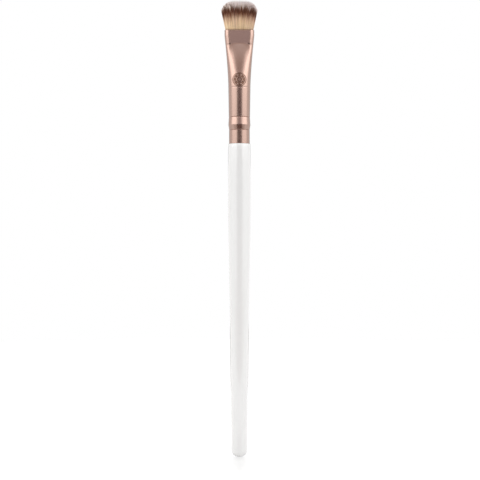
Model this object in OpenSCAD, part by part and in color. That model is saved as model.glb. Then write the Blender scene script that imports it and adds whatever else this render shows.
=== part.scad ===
// Eyeshadow brush, standing on the end of its handle with the flat of the head to the front.
// X is the width of the head, Y its depth, Z runs up the axis. All lengths are in millimetres.

/* [Handle] */
// Height of the handle that shows below the ferrule
handle_h = 120; // [90:1:150]
// Diameter just above the rounded end
end_d = 6.1; // [4.5:0.1:7]
// Height of the rounded end
end_dome_h = 3; // [1.5:0.1:4]
// Diameter of the belly, the thickest stretch
belly_d = 8.9; // [7.5:0.05:11]
// Length of the straight belly, which a rack ring grips
belly_h = 11; // [5:0.5:15]
// Height of the neck between the belly and the ferrule
neck_h = 15; // [8:0.5:25]
// How far the taper below the belly is hollowed from a straight line, on the radius
taper_hollow = 0.13; // [0:0.01:0.3]
// How far the shoulder stands out beyond the ferrule that rests on it
shoulder_step = 0.28; // [0.2:0.02:0.5]
// Rounding of the shoulder's edge
shoulder_round = 0.2; // [0.1:0.02:0.28]
// Length of the tenon inside the ferrule
tenon_h = 14; // [10:0.5:18]
// Chamfer on the tip of the tenon
tenon_chamfer = 0.5; // [0.2:0.1:1]

/* [Ferrule] */
// Height of the ferrule
ferrule_h = 43.6; // [40:0.1:52]
// Thickness of the drawn tube's wall
wall = 0.35; // [0.25:0.05:0.5]
// Outside diameter of the sleeve below the bead
sleeve_d = 7.9; // [6.5:0.1:9.5]
// Height of the sleeve below the bead
sleeve_h = 5.45; // [3:0.05:7]
// How far the crest of the rolled bead stands out beyond the sleeve
bead_rise = 0.26; // [0.2:0.02:0.5]
// Height of the rolled bead from foot to foot
bead_h = 4.65; // [3.5:0.05:7]
// How far the tube just above the bead stands out beyond the sleeve
tube_step = 0.09; // [0:0.01:0.15]
// Height above the ferrule's edge at which the press starts to flatten the tube
press_z = 21.6; // [19:0.2:26]
// How much the tube's radius grows from the bead up to where the flattening starts
tube_growth = 0.18; // [0:0.01:0.5]
// Width of the flattened mouth
mouth_w = 11.4; // [10:0.1:13.5]
// Depth of the flattened mouth
mouth_t = 3.7; // [3.1:0.1:4.6]
// Height of the band at the mouth whose two faces are parallel
jaw_h = 5.2; // [4:0.1:6]
// Height of the band at the mouth that has the full width
full_width_h = 2.1; // [1.5:0.1:3]
// Radius of the slight crown that the pressed faces keep
crown_r = 120; // [80:10:300]
// Chamfer on the edges of the mouth
mouth_chamfer = 0.1; // [0.04:0.02:0.14]

/* [Tuft] */
// Free height of the filaments above the ferrule
tuft_h = 11.4; // [8:0.1:16]
// Greatest width of the flared tuft
flare_w = 13.75; // [12.5:0.25:16]
// Greatest depth of the flared tuft
flare_t = 6.2; // [4.5:0.1:8]
// Height above the ferrule at which the tuft is widest
flare_h = 7.2; // [5:0.2:8]
// Strands across the width
strand_cols = 30; // [26:1:32]
// Strands across the depth
strand_rows = 14; // [12:1:15]
// Most that a strand is longer or shorter than the dome asks
uneven = 0.25; // [0:0.05:0.4]

/* [Inside the ferrule] */
// Thickness of the glue between tenon and ferrule, before its two seams
tenon_glue_t = 0.12; // [0.08:0.02:0.2]
// Depth of the filament roots that are fused into the tuft's own slice
root_slice_h = 2.2; // [1.5:0.1:3]
// How far the slice sits below the ferrule's mouth
root_recess = 0.2; // [0.1:0.05:0.4]
// Height of the resin in which the roots are potted
resin_h = 11; // [9:0.5:14]
// Diameter of the binding thread
thread_d = 0.4; // [0.3:0.05:0.5]
// Turns of the binding thread
thread_turns = 4; // [3:1:5]
// Height of the thread above the lower end of the resin
thread_z = 1.5; // [1:0.1:2.5]
// Seam left between two pieces that are glued or wound on each other
seam = 0.04; // [0.02:0.01:0.06]

/* [Hidden] */

// Smoothness of the turned pieces, and the number of straight steps in each curved stretch
$fn = 96;
dome_steps = 12;
taper_steps = 12;
neck_steps = 6;
round_steps = 4;

// The rounded end is a superellipse, fuller than a ball: a round nose has the power 2
end_power = 2.4;
// The hollow of the taper runs out softly at both ends
hollow_power = 2;
// The neck above the belly draws in ever faster towards the shoulder
neck_power = 1.8;

// Levels along the axis
belly_z = handle_h - neck_h - belly_h;
ferrule_z = handle_h;
bead_z = ferrule_z + sleeve_h;
bead_top_z = bead_z + bead_h;
press_start_z = ferrule_z + press_z;
mouth_z = ferrule_z + ferrule_h;
crease_z = mouth_z - jaw_h;
full_width_z = mouth_z - full_width_h;
tenon_top_z = handle_h + tenon_h;
slice_top_z = mouth_z - root_recess;
slice_z = slice_top_z - root_slice_h;
resin_z = slice_z - resin_h;

// Place of the crest in the height of the bead, and half the height of its rounded crest
crest_share = 0.4;
crest_half_share = 0.06;
// How far the flanks beside the crest stand out, as a share of the bead's rise
crest_flank_share = 0.88;
// Fine rolled groove at each foot of the bead
groove_h = 0.3;
groove_depth = 0.07;
// Rounding of the ferrule's lower edge
edge_chamfer = 0.08;

// The loft starts this much inside both faces of the tube's wall, which leaves a fine press line
press_line = 0.03;
// It starts this much below the press line, so that it laps the tube's wall
press_lap = 0.3;
// A section is an oval of four arcs. Half the angle of its front and back arcs, where it is still round
start_face_angle = 45;
// Powers by which that angle closes, and by which the section thins and widens, over the pressed height
face_angle_power = 0.45;
thin_power = 2;
widen_power = 1.45;
// Straight steps round each end of a section, across each face, and up the pressed height, closer at the crease
arc_steps = 16;
face_steps = 16;
press_steps = 12;
level_power = 1.4;
// A level that comes nearer than this to an end of a stretch gets no ring there
least_step = 0.05;

// The dome over the tuft drops by these shares of the height at its sides and at its faces
side_drop_share = 0.32;
side_drop_power = 4;
face_drop_share = 0.24;
face_drop_power = 2.4;
// A strand keeps its thickness up to this share of its height, thinned to this share of its cell, then it tapers
strand_full_share = 0.8;
strand_thick_share = 0.94;
// Rows crowd towards the faces by this share, so that the rounded ends stay round
row_crowd_share = 0.5;
// Gap between the root slice and the ferrule, which also clears the strands that lean outwards
slice_gap = 0.12;
uneven_seed = 7;

// Radii
end_r = end_d / 2;
belly_r = belly_d / 2;
sleeve_r = sleeve_d / 2;
shoulder_r = sleeve_r + shoulder_step;
tenon_r = sleeve_r - wall - tenon_glue_t;
bead_r = sleeve_r + bead_rise;
tube_r = sleeve_r + tube_step;
press_r = tube_r + tube_growth;

// Half of the outline of the turned handle, from the middle of its end up to the tip of the tenon
function handle_outline() = concat(
    [[0, 0]],
    [for (i = [1:dome_steps]) let (a = 90 * i / dome_steps)
        [end_r * pow(sin(a), 2 / end_power), end_dome_h * (1 - pow(cos(a), 2 / end_power))]],
    [for (i = [1:taper_steps]) let (s = i / taper_steps)
        [end_r + (belly_r - end_r) * s - taper_hollow * pow(sin(180 * s), hollow_power),
         end_dome_h + (belly_z - end_dome_h) * s]],
    [for (i = [0:neck_steps]) let (s = i / neck_steps)
        [belly_r + (shoulder_r - belly_r) * pow(s, neck_power),
         handle_h - neck_h + (neck_h - shoulder_round) * s]],
    [for (i = [1:round_steps]) let (a = 90 * i / round_steps)
        [shoulder_r - shoulder_round * (1 - cos(a)), handle_h - shoulder_round * (1 - sin(a))]],
    [[tenon_r, handle_h],
     [tenon_r, tenon_top_z - tenon_chamfer],
     [tenon_r - tenon_chamfer, tenon_top_z],
     [0, tenon_top_z]]
);

// Levels and outside radii of the round part of the ferrule, without its fine grooves
crest_z = bead_z + crest_share * bead_h;
crest_half_h = crest_half_share * bead_h;
tube_stations = [
    [sleeve_r, ferrule_z],
    [sleeve_r, bead_z],
    [sleeve_r + crest_flank_share * bead_rise, crest_z - crest_half_h],
    [bead_r, crest_z],
    [sleeve_r + crest_flank_share * bead_rise, crest_z + crest_half_h],
    [tube_r, bead_top_z],
    [press_r, press_start_z]
];
tube_n = len(tube_stations);

// The same stretch with a rolled groove at each foot of the bead and a broken lower edge
tube_face = [
    [sleeve_r - edge_chamfer, ferrule_z],
    [sleeve_r, ferrule_z + edge_chamfer],
    [sleeve_r, bead_z - groove_h],
    [sleeve_r - groove_depth, bead_z - groove_h / 2],
    tube_stations[1],
    tube_stations[2],
    tube_stations[3],
    tube_stations[4],
    tube_stations[5],
    [tube_r - groove_depth, bead_top_z + groove_h / 2],
    [tube_r, bead_top_z + groove_h],
    tube_stations[6]
];

// The wall's inner face from the press line down, set in from the outside by the wall and an extra gap
function tube_bore(gap) = [for (i = [tube_n - 1:-1:0]) tube_stations[i] - [wall + gap, 0]];

// Radius of the ferrule's bore at a level inside its round part
function bore_at(z) = lookup(z, [for (s = tube_stations) [s[1], s[0] - wall]]);

// How far the section at a level has been thinned and widened by the press, from 0 to 1
function pressed(z, top_z, power) =
    pow(min(max((z - press_start_z) / (top_z - press_start_z), 0), 1), power);
function thinned(z) = pressed(z, crease_z, thin_power);
function widened(z) = pressed(z, full_width_z, widen_power);

// Half the depth and half the width of the section
function half_depth(z) = press_r + (mouth_t / 2 - press_r) * thinned(z);
function half_width(z) = press_r + (mouth_w / 2 - press_r) * widened(z);

// Radius of the rounded ends and half the angle of the faces at the mouth, where the faces have crown_r
mouth_end_r = mouth_t / 2 - pow((mouth_w - mouth_t) / 2, 2) / (2 * crown_r - mouth_w);
mouth_face_angle = asin((mouth_w / 2 - mouth_end_r) / (crown_r - mouth_end_r));

// Half the angle of a face, how much larger its radius is than that of the ends, and the radius of the ends
function face_angle(z) = mouth_face_angle + (start_face_angle - mouth_face_angle)
    * pow(1 - pressed(z, crease_z, 1), face_angle_power);
function face_excess(z) = (half_width(z) - half_depth(z)) / (sin(face_angle(z)) + cos(face_angle(z)) - 1);
function end_radius(z) = half_width(z) - face_excess(z) * sin(face_angle(z));

// Points of the ferrule's section at a level, anticlockwise from above, moved in from its outer face by inset
function section(z, inset) =
    let (
        a = face_angle(z),
        e = face_excess(z),
        r = end_radius(z) - inset,
        face = function (turn, side) [(r + e) * sin(turn), side * ((r + e) * cos(turn) - e * cos(a)), z],
        end = function (turn, side) [side * (e * sin(a) + r * cos(turn)), side * r * sin(turn), z],
        face_turn = function (i) a * (2 * i / face_steps - 1),
        end_turn = function (i) (90 - a) * (2 * i / arc_steps - 1)
    )
    concat(
        [for (i = [0:face_steps - 1]) face(face_turn(i), -1)],
        [for (i = [0:arc_steps - 1]) end(end_turn(i), 1)],
        [for (i = [0:face_steps - 1]) face(-face_turn(i), 1)],
        [for (i = [0:arc_steps - 1]) end(end_turn(i), -1)]
    );

// Levels at which the pressed part has a section
press_levels = concat(
    [for (i = [0:press_steps])
        press_start_z + (crease_z - press_start_z) * (1 - pow(1 - i / press_steps, level_power))],
    [full_width_z]
);
// Those of them that lie between two levels
function levels_between(low, high) =
    [for (z = press_levels) if (z > low + least_step && z < high - least_step) z];

// Faces of the strip between ring k and ring m of a stack, two triangles to each step
function strip(k, m, n) = [for (i = [0:n - 1]) let (j = (i + 1) % n)
    each [[k * n + i, m * n + i, m * n + j], [k * n + i, m * n + j, k * n + j]]];

// A list of lists as one list
function joined(lists) = [for (l = lists) each l];

// Solid whose rings close on themselves, such as a wall whose outer rings go up and inner rings come down
module ring_loop(rings) {
    n = len(rings[0]);
    last = len(rings) - 1;
    polyhedron(
        points = joined(rings),
        faces = joined([for (k = [0:last]) strip(k, k == last ? 0 : k + 1, n)])
    );
}

// Solid through a stack of rings from the lowest up, closed by a fan at each end
module ring_stack(rings) {
    n = len(rings[0]);
    last = len(rings) - 1;
    low = n * len(rings);
    polyhedron(
        points = concat(joined(rings), [[0, 0, rings[0][0][2]], [0, 0, rings[last][0][2]]]),
        faces = concat(
            joined([for (k = [0:last - 1]) strip(k, k + 1, n)]),
            [for (i = [0:n - 1]) [low, i, (i + 1) % n]],
            [for (i = [0:n - 1]) [low + 1, last * n + (i + 1) % n, last * n + i]]
        )
    );
}

// Turned wooden core with its shoulder and tenon, lacquered white
module handle() {
    color("white")
    rotate_extrude()
    polygon(handle_outline());
}

// Drawn aluminium tube with a rolled bead below and a mouth pressed flat above
module ferrule() {
    color([0.66, 0.5, 0.46]) {
        rotate_extrude()
        polygon(concat(tube_face, tube_bore(0)));
        pressed_mouth();
    }
}

// Wall of the pressed part, from its lap in the tube's wall to the mouth
module pressed_mouth() {
    rise = levels_between(press_start_z, mouth_z);
    lip_z = mouth_z - mouth_chamfer;
    lap_z = press_start_z - press_lap;
    ring_loop(concat(
        [section(lap_z, press_line)],
        [for (z = rise) section(z, 0)],
        [section(lip_z, 0), section(mouth_z, mouth_chamfer)],
        [section(mouth_z, wall - mouth_chamfer), section(lip_z, wall)],
        [for (i = [len(rise) - 1:-1:0]) section(rise[i], wall)],
        [section(lap_z, wall - press_line)]
    ));
}

// Glue that fills the seat of the tenon and keys into the hollow of the bead
module handle_glue() {
    top_z = tenon_top_z - tenon_chamfer;
    bore = [for (p = tube_bore(seam)) if (p[1] < top_z) p];
    color("khaki")
    rotate_extrude()
    polygon(concat(
        [[tenon_r + seam, ferrule_z], [tenon_r + seam, top_z], [bore_at(top_z) - seam, top_z]],
        bore
    ));
}

// Radial room that the thread needs in the groove of the resin
thread_room = thread_d + seam;
thread_low_z = resin_z + thread_z;
thread_high_z = thread_low_z + thread_turns * thread_d;

// Resin that pots the roots of the filaments and grips the inside of the pressed tube
module resin_plug() {
    gap = wall + seam;
    waist = gap + thread_room;
    low_z = thread_low_z - seam;
    high_z = thread_high_z + seam;
    color("tan")
    ring_stack(concat(
        [section(resin_z, gap)],
        [for (z = levels_between(resin_z, low_z)) section(z, gap)],
        [section(low_z, gap), section(low_z, waist)],
        [for (z = levels_between(low_z, high_z)) section(z, waist)],
        [section(high_z, waist), section(high_z, gap)],
        [for (z = levels_between(high_z, slice_z)) section(z, gap)],
        [section(slice_z, gap)]
    ));
}

// Binding thread, wound in touching turns round the waist of the potted roots
module tie_thread() {
    inner = wall + thread_d + seam;
    valley = wall + seam + thread_d / 2;
    color("ivory")
    ring_loop(concat(
        [for (i = [0:thread_turns - 1]) each [
            section(thread_low_z + thread_d * i, valley),
            section(thread_low_z + thread_d * (i + 0.5), wall + seam)
        ]],
        [section(thread_high_z, valley), section(thread_high_z, inner)],
        [section(thread_low_z, inner)]
    ));
}

// The root slice is a prism that fits the ferrule over the slice's whole height
slice_r = min(end_radius(slice_z), end_radius(slice_top_z)) - wall - slice_gap;
slice_half_w = min(half_width(slice_z), half_width(slice_top_z)) - wall - slice_gap;

// Share of the half depth at row line i, from -1 to 1, and the half width of the slice there
function row_share(i) =
    let (w = 2 * i / strand_rows - 1)
    (1 - row_crowd_share) * w + row_crowd_share * sin(90 * w);
function row_half_w(v) = slice_half_w - slice_r + slice_r * sqrt(1 - pow(v, 2));
function col_share(j) = 2 * j / strand_cols - 1;

// Place on the slice of the crossing of row line i and column line j
function root_at(i, j) =
    let (v = row_share(i))
    [col_share(j) * row_half_w(v), slice_r * v];

// Spread of the tuft at a height above the slice, in width and in depth
function spread(h) =
    let (full_h = flare_h + root_recess)
    [1 + (flare_w / 2 / slice_half_w - 1) * h / full_h, 1 + (flare_t / 2 / slice_r - 1) * h / full_h];

// Length of a strand whose middle has the shares u of the half width and v of the half depth
function strand_length(u, v, noise) =
    (root_recess + tuft_h) * (1 - side_drop_share * pow(abs(u), side_drop_power))
    * (1 - face_drop_share * pow(abs(v), face_drop_power)) - uneven + uneven * noise;

line_n = strand_cols + 1;
root_n = line_n * (strand_rows + 1);
strand_n = strand_cols * strand_rows;
noises = rands(-1, 1, strand_n, uneven_seed);

// The four points that a strand adds to the three on its cell: three where its taper starts, and its tip
function strand_points(i, j) =
    let (
        corners = [root_at(i, j), root_at(i, j + 1), root_at(i + 1, j)],
        middle = (corners[0] + corners[1] + corners[2]) / 3,
        u = (col_share(j) + col_share(j + 1)) / 2,
        v = (row_share(i) + row_share(i + 1)) / 2,
        h = strand_length(u, v, noises[i * strand_cols + j]),
        full_h = h * strand_full_share,
        wide = spread(full_h),
        top = spread(h)
    )
    concat(
        [for (c = corners) let (p = middle + (c - middle) * strand_thick_share)
            [p[0] * wide[0], p[1] * wide[1], slice_top_z + full_h]],
        [[middle[0] * top[0], middle[1] * top[1], slice_top_z + h]]
    );

// Faces of one strand on the corners a, b and d of its cell, with its own points from number k on
function strand_faces(a, b, d, k) = [
    for (e = [[a, b, 0, 1], [b, d, 1, 2], [d, a, 2, 0]])
        each [[k + e[2], k + e[3], e[1]], [k + e[2], e[1], e[0]], [k + 3, k + e[3], k + e[2]]]
];

// Numbers of the points round the edge of the slice's top, anticlockwise from above
slice_edge = concat(
    [for (j = [0:strand_cols - 1]) j],
    [for (i = [0:strand_rows - 1]) i * line_n + strand_cols],
    [for (j = [strand_cols:-1:1]) strand_rows * line_n + j],
    [for (i = [strand_rows:-1:1]) i * line_n]
);
edge_n = len(slice_edge);

// Filaments as tapering three-sided strands that grow out of every cell of the root slice
module bristle_tuft() {
    roots = [for (i = [0:strand_rows]) for (j = [0:strand_cols]) concat(root_at(i, j), slice_top_z)];
    strands = joined([for (i = [0:strand_rows - 1]) for (j = [0:strand_cols - 1]) strand_points(i, j)]);
    foot = [for (k = slice_edge) [roots[k][0], roots[k][1], slice_z]];
    foot_k = root_n + 4 * strand_n;
    centre_k = foot_k + edge_n;
    color([0.55, 0.4, 0.3])
    polyhedron(
        points = concat(roots, strands, foot, [[0, 0, slice_z]]),
        faces = concat(
            joined([for (i = [0:strand_rows - 1]) for (j = [0:strand_cols - 1])
                let (a = i * line_n + j)
                concat(
                    strand_faces(a, a + 1, a + line_n, root_n + 4 * (i * strand_cols + j)),
                    [[a + line_n, a + line_n + 1, a + 1]]
                )]),
            joined([for (k = [0:edge_n - 1]) let (m = (k + 1) % edge_n)
                [[slice_edge[k], slice_edge[m], foot_k + m], [slice_edge[k], foot_k + m, foot_k + k],
                 [centre_k, foot_k + k, foot_k + m]]])
        )
    );
}

handle();
ferrule();
handle_glue();
resin_plug();
tie_thread();
bristle_tuft();
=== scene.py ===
"""Looks of a slim eyeshadow brush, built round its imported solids.

The brush stands on the end of its handle with the flat of its head to the front, towards -Y. Each
sub-assembly is a class that models its meshes and dresses them, and each finish is a class that
makes its material. Lengths are in millimetres until a mesh is made, which is in metres like the
frame.
"""

import logging
import math
from dataclasses import dataclass
from enum import Enum
from itertools import pairwise
from typing import Any, Callable, ClassVar, Sequence

import bmesh
import bpy
import numpy as np
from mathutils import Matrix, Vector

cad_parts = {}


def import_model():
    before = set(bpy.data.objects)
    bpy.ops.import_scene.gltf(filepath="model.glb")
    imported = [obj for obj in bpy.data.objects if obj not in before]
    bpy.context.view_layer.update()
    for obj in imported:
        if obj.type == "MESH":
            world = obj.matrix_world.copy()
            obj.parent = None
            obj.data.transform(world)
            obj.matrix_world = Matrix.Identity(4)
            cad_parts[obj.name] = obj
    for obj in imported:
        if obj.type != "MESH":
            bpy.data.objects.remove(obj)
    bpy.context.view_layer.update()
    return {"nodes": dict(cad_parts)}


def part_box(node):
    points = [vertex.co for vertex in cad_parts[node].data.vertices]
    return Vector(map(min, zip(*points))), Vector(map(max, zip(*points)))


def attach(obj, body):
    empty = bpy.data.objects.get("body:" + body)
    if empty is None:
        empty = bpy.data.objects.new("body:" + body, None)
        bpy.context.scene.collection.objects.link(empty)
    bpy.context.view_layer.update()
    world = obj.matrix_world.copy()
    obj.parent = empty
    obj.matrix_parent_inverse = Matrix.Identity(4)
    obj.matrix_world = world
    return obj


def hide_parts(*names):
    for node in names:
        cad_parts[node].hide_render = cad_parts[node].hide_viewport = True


MM = 0.001
BODY = "root"
FILAMENT_MAP = "OFBake"

Ring = tuple[float, float]
Colour = tuple[float, float, float, float]
Stops = tuple[tuple[float, str], ...]

WHITE: Colour = (1.0, 1.0, 1.0, 1.0)

# A point lies on a level or a line when it is no further from it than this, in metres.
NEAR = 0.01 * MM

log = logging.getLogger("eyeshadow_brush")


class Element(Enum):
    """Kinds of mesh element that can be picked in edit mode."""

    VERT = "verts"
    EDGE = "edges"
    FACE = "faces"


class Relief(Enum):
    """How a band of the stamped roundel stands against the face round it."""

    RAISED = "raised"
    SUNK = "sunk"


@dataclass(frozen=True)
class FrameSizes:
    """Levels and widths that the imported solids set, in millimetres."""

    shoulder_z: float
    tenon_top_z: float
    belly_d: float
    mouth_z: float
    mouth_w: float
    tube_d: float
    roots_z: float
    tuft_top_z: float
    flare_w: float
    flare_t: float

    @classmethod
    def read(cls) -> "FrameSizes":
        """Read the sizes from the boxes of the handle, the ferrule and the tuft.

        Returns:
            The sizes.
        """
        names = ("handle", "ferrule", "bristle_tuft")
        boxes = {name: [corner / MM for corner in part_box(name)] for name in names}
        span = {name: high - low for name, (low, high) in boxes.items()}
        return cls(
            shoulder_z=boxes["ferrule"][0].z,
            tenon_top_z=boxes["handle"][1].z,
            belly_d=span["handle"].x,
            mouth_z=boxes["ferrule"][1].z,
            mouth_w=span["ferrule"].x,
            tube_d=span["ferrule"].y,
            roots_z=boxes["bristle_tuft"][0].z,
            tuft_top_z=boxes["bristle_tuft"][1].z,
            flare_w=span["bristle_tuft"].x,
            flare_t=span["bristle_tuft"].y,
        )


def linear(hex_colour: str) -> Colour:
    """Turn an sRGB hex colour into linear red, green, blue and alpha."""
    shares = [int(hex_colour[i : i + 2], 16) / 255 for i in (1, 3, 5)]
    return (*(c / 12.92 if c <= 0.04045 else ((c + 0.055) / 1.055) ** 2.4 for c in shares), 1.0)


def add_node(
    tree: bpy.types.NodeTree,
    kind: str,
    feeds: dict[str | int, Any] | None = None,
    stops: Stops = (),
    **settings: Any,
) -> bpy.types.Node:
    """Add a node with its settings, input values and links.

    Args:
        tree: Node tree that gets the node.
        kind: Blender's type name for the node.
        feeds: For an input's name or number, the value that it holds or what feeds it: a socket,
            or a node for its first output.
        stops: Places and hex colours of a colour ramp, from the lowest place up.
        **settings: Properties of the node itself.

    Returns:
        The new node.
    """
    node = tree.nodes.new(kind)
    for name, value in settings.items():
        setattr(node, name, value)
    for name, value in (feeds or {}).items():
        if isinstance(value, bpy.types.Node):
            value = value.outputs[0]
        if isinstance(value, bpy.types.NodeSocket):
            tree.links.new(value, node.inputs[name])
        else:
            node.inputs[name].default_value = value
    for i, (place, colour) in enumerate(stops):
        elements = node.color_ramp.elements
        stop = elements[i] if i < len(elements) else elements.new(place)
        stop.position, stop.color = place, linear(colour)
    return node


def start_nodes(owner: bpy.types.ID) -> bpy.types.NodeTree:
    """Give a material, a world or a lamp an empty node tree.

    Args:
        owner: The material, the world or the lamp.

    Returns:
        Its node tree.
    """
    owner.use_nodes = True
    owner.node_tree.nodes.clear()
    return owner.node_tree


class Finish:
    """A surface finish that lays out its own nodes."""

    name: ClassVar[str]

    def material(self) -> bpy.types.Material:
        """Make the material that wears this finish.

        Returns:
            The material.
        """
        material = bpy.data.materials.new(self.name)
        tree = start_nodes(material)
        add_node(tree, "ShaderNodeOutputMaterial", {"Surface": self.lay_out(tree)})
        return material

    def lay_out(self, tree: bpy.types.NodeTree) -> bpy.types.Node:
        """Add this finish's nodes and return its shader."""
        raise NotImplementedError

    @staticmethod
    def pattern(
        tree: bpy.types.NodeTree, cell: Sequence[float], detail: float = 2.0
    ) -> bpy.types.Node:
        """Lay a cloudy pattern on the piece, at its real size.

        Args:
            tree: Node tree of the material.
            cell: Size of one cell of the pattern along X, Y and Z, in millimetres.
            detail: How many finer patterns lie over the first.

        Returns:
            The node whose first output is the pattern, from 0 to 1.
        """
        where = add_node(tree, "ShaderNodeTexCoord").outputs["Object"]
        feeds = {"Vector": where, "Scale": [1 / (c * MM) for c in cell]}
        placed = add_node(tree, "ShaderNodeMapping", feeds)
        return add_node(tree, "ShaderNodeTexNoise", {"Vector": placed, "Detail": detail})

    @staticmethod
    def dented(
        tree: bpy.types.NodeTree, height: bpy.types.Node, depth_mm: float, feeds: dict[str, Any]
    ) -> bpy.types.Node:
        """Add the shader of a surface that a pattern dents.

        Args:
            tree: Node tree of the material.
            height: Node that gives the pattern.
            depth_mm: Depth of its dents in millimetres.
            feeds: What the other inputs of the shader hold or are fed by.

        Returns:
            The shader.
        """
        dents = add_node(tree, "ShaderNodeBump", {"Height": height, "Distance": depth_mm * MM})
        return add_node(tree, "ShaderNodeBsdfPrincipled", feeds | {"Normal": dents})


@dataclass(frozen=True)
class SprayedLacquer(Finish):
    """White pigmented lacquer, sprayed on turned birch and buffed under a clear top coat.

    The pigmented coat gives the broad, soft sheen, the clear coat the crisp one, and a trace of
    orange peel from the spray gun breaks both a little. The tenon above the shoulder is bare wood,
    because glue has to hold it.
    """

    name: ClassVar[str] = "sprayed_white_lacquer"
    shoulder_z: float
    pigment: str = "#E0DFDE"
    pigment_shade: str = "#DDDCDB"
    wood_stops: Stops = ((0.35, "#DCC49C"), (0.7, "#BC9A68"))
    mottle_mm: float = 5.0
    peel_mm: float = 0.9
    peel_depth_mm: float = 0.0015
    grain_mm: float = 0.35
    grain_length_mm: float = 9.0
    coat_roughness: float = 0.07
    coat_ior: float = 1.6
    smooth: float = 0.16
    rough: float = 0.24

    def lay_out(self, tree: bpy.types.NodeTree) -> bpy.types.Node:
        """Lay out lacquer below the shoulder and bare wood above it.

        Args:
            tree: Empty node tree of the material.

        Returns:
            The shader.
        """
        where = add_node(tree, "ShaderNodeTexCoord").outputs["Object"]
        level = add_node(tree, "ShaderNodeSeparateXYZ", {"Vector": where}).outputs["Z"]
        feeds = {0: level, 1: self.shoulder_z * MM}
        bare = add_node(tree, "ShaderNodeMath", feeds, operation="GREATER_THAN")
        coated = add_node(tree, "ShaderNodeMath", {0: 1.0, 1: bare}, operation="SUBTRACT")
        mottle = self.pattern(tree, [self.mottle_mm] * 3)
        feeds = {"Fac": mottle}
        feeds |= {"Color1": linear(self.pigment), "Color2": linear(self.pigment_shade)}
        lacquer = add_node(tree, "ShaderNodeMixRGB", feeds)
        cell = (self.grain_mm, self.grain_mm, self.grain_length_mm)
        grain = self.pattern(tree, cell, detail=3.0)
        wood = add_node(tree, "ShaderNodeValToRGB", {"Fac": grain}, stops=self.wood_stops)
        feeds = {"Fac": bare, "Color1": lacquer, "Color2": wood}
        colour = add_node(tree, "ShaderNodeMixRGB", feeds)
        feeds = {"Value": mottle, "To Min": self.smooth, "To Max": self.rough}
        rough = add_node(tree, "ShaderNodeMapRange", feeds)
        feeds = {"Base Color": colour, "Roughness": rough, "Coat Weight": coated}
        feeds |= {"Coat Roughness": self.coat_roughness, "Coat IOR": self.coat_ior}
        peel = self.pattern(tree, [self.peel_mm] * 3, detail=1.0)
        return self.dented(tree, peel, self.peel_depth_mm, feeds)


@dataclass(frozen=True)
class AnodisedAluminium(Finish):
    """Aluminium tube, drawn through a die, brightened and dyed rose bronze in the anodising bath.

    The bath leaves a satin metal that blurs the room a little, and the die leaves faint lines along
    the tube. Real lines are a few hundredths of a millimetre apart, and these are drawn coarser so
    that they show.
    """

    name: str = "rose_bronze_anodised_aluminium"
    dye: str = "#B2978B"
    dye_shade: str = "#AD9186"
    line_mm: float = 0.3
    line_length_mm: float = 16.0
    line_depth_mm: float = 0.0006
    smooth: float = 0.23
    rough: float = 0.28

    def lay_out(self, tree: bpy.types.NodeTree) -> bpy.types.Node:
        """Lay out the dyed metal with its drawing lines.

        Args:
            tree: Empty node tree of the material.

        Returns:
            The shader.
        """
        lines = self.pattern(tree, (self.line_mm, self.line_mm, self.line_length_mm))
        feeds = {"Fac": lines, "Color1": linear(self.dye), "Color2": linear(self.dye_shade)}
        dyed = add_node(tree, "ShaderNodeMixRGB", feeds)
        feeds = {"Value": lines, "To Min": self.smooth, "To Max": self.rough}
        rough = add_node(tree, "ShaderNodeMapRange", feeds)
        feeds = {"Base Color": dyed, "Metallic": 1.0, "Roughness": rough}
        return self.dented(tree, lines, self.line_depth_mm, feeds)


@dataclass(frozen=True)
class EtchedAluminium(Finish):
    """Anodised aluminium inside the roundel, etched by the marking laser.

    The laser leaves it darker and duller, and pitted, so that it sparkles unevenly.
    """

    name: ClassVar[str] = "etched_aluminium"
    pit_stops: Stops = ((0.38, "#402620"), (0.6, "#907060"))
    pit_mm: float = 0.42
    pit_depth_mm: float = 0.02
    pit_roughness: float = 0.5
    face_roughness: float = 0.34

    def lay_out(self, tree: bpy.types.NodeTree) -> bpy.types.Node:
        """Lay out the pitted metal.

        Args:
            tree: Empty node tree of the material.

        Returns:
            The shader.
        """
        pits = self.pattern(tree, [self.pit_mm] * 3)
        colour = add_node(tree, "ShaderNodeValToRGB", {"Fac": pits}, stops=self.pit_stops)
        feeds = {"Value": pits, "To Min": self.pit_roughness, "To Max": self.face_roughness}
        rough = add_node(tree, "ShaderNodeMapRange", feeds)
        feeds = {"Base Color": colour, "Metallic": 1.0, "Roughness": rough}
        return self.dented(tree, pits, self.pit_depth_mm, feeds)


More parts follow.
